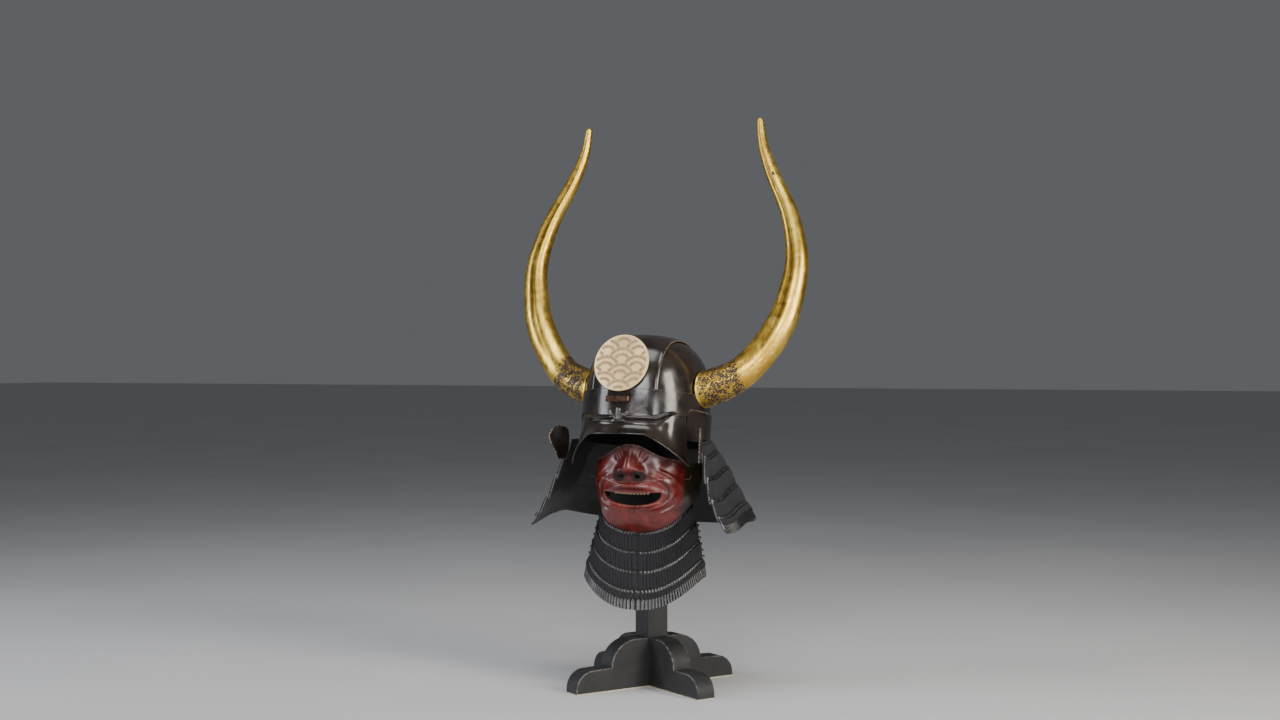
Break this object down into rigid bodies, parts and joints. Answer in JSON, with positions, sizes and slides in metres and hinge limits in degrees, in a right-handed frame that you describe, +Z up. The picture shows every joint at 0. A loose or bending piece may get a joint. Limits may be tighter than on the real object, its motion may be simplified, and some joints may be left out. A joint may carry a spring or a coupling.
{
  "type": "kabuto helmet with face mask on a stand",
  "caption": "Lacquered samurai helmet with gilt horns, round crest and laced neck guard, with its face mask and throat guard, on a cross-footed wooden stand.",
  "frame": {"origin": "middle of the stand's underside, on the surface that the stand rests on", "axes": "+Z up; the mask and the crest face -Y; +X is the wearer's left"},
  "size_m": [0.5542, 0.3213, 1.0153],
  "materials": {
    "brown_lacquer": "gloss",
    "black_lacquer": "gloss",
    "red_lacquer": "satin",
    "dark_lacing": "matte",
    "gilt_wood": "satin",
    "cream_gold": "satin",
    "copper": "satin",
    "gilt_teeth": "satin",
    "black_stand_wood": "matte"
  },
  "bodies": {
    "root": {"bowl_shell": "brown_lacquer", "top_plate": "brown_lacquer", "brow_plate": "brown_lacquer", "side_band": "brown_lacquer", "visor": "brown_lacquer", "horn_left": "gilt_wood", "horn_right": "gilt_wood", "crest_disc": "cream_gold", "crest_bar": "copper", "crest_prongs": "copper", "neck_lame_1": "black_lacquer", "neck_lacing_1": "dark_lacing", "neck_lame_2": "black_lacquer", "neck_lacing_2": "dark_lacing", "neck_lame_3": "black_lacquer", "neck_lacing_3": "dark_lacing", "neck_lame_4": "black_lacquer", "neck_lacing_4": "dark_lacing", "neck_lame_5": "black_lacquer", "neck_lacing_5": "dark_lacing", "ear_flap_left": "black_lacquer", "ear_flap_right": "black_lacquer", "mask_face": "red_lacquer", "mask_teeth": "gilt_teeth", "cheek_hook_left": "copper", "cheek_hook_right": "copper", "throat_lame_1": "black_lacquer", "throat_lacing_1": "dark_lacing", "throat_lame_2": "black_lacquer", "throat_lacing_2": "dark_lacing", "throat_lame_3": "black_lacquer", "throat_lacing_3": "dark_lacing", "throat_lame_4": "black_lacquer", "throat_lacing_4": "dark_lacing", "stand_board_a": "black_stand_wood", "stand_board_b": "black_stand_wood", "stand_post": "black_stand_wood", "stand_head_pad": "black_stand_wood", "mask_arm": "black_stand_wood"}
  },
  "joints": []
}
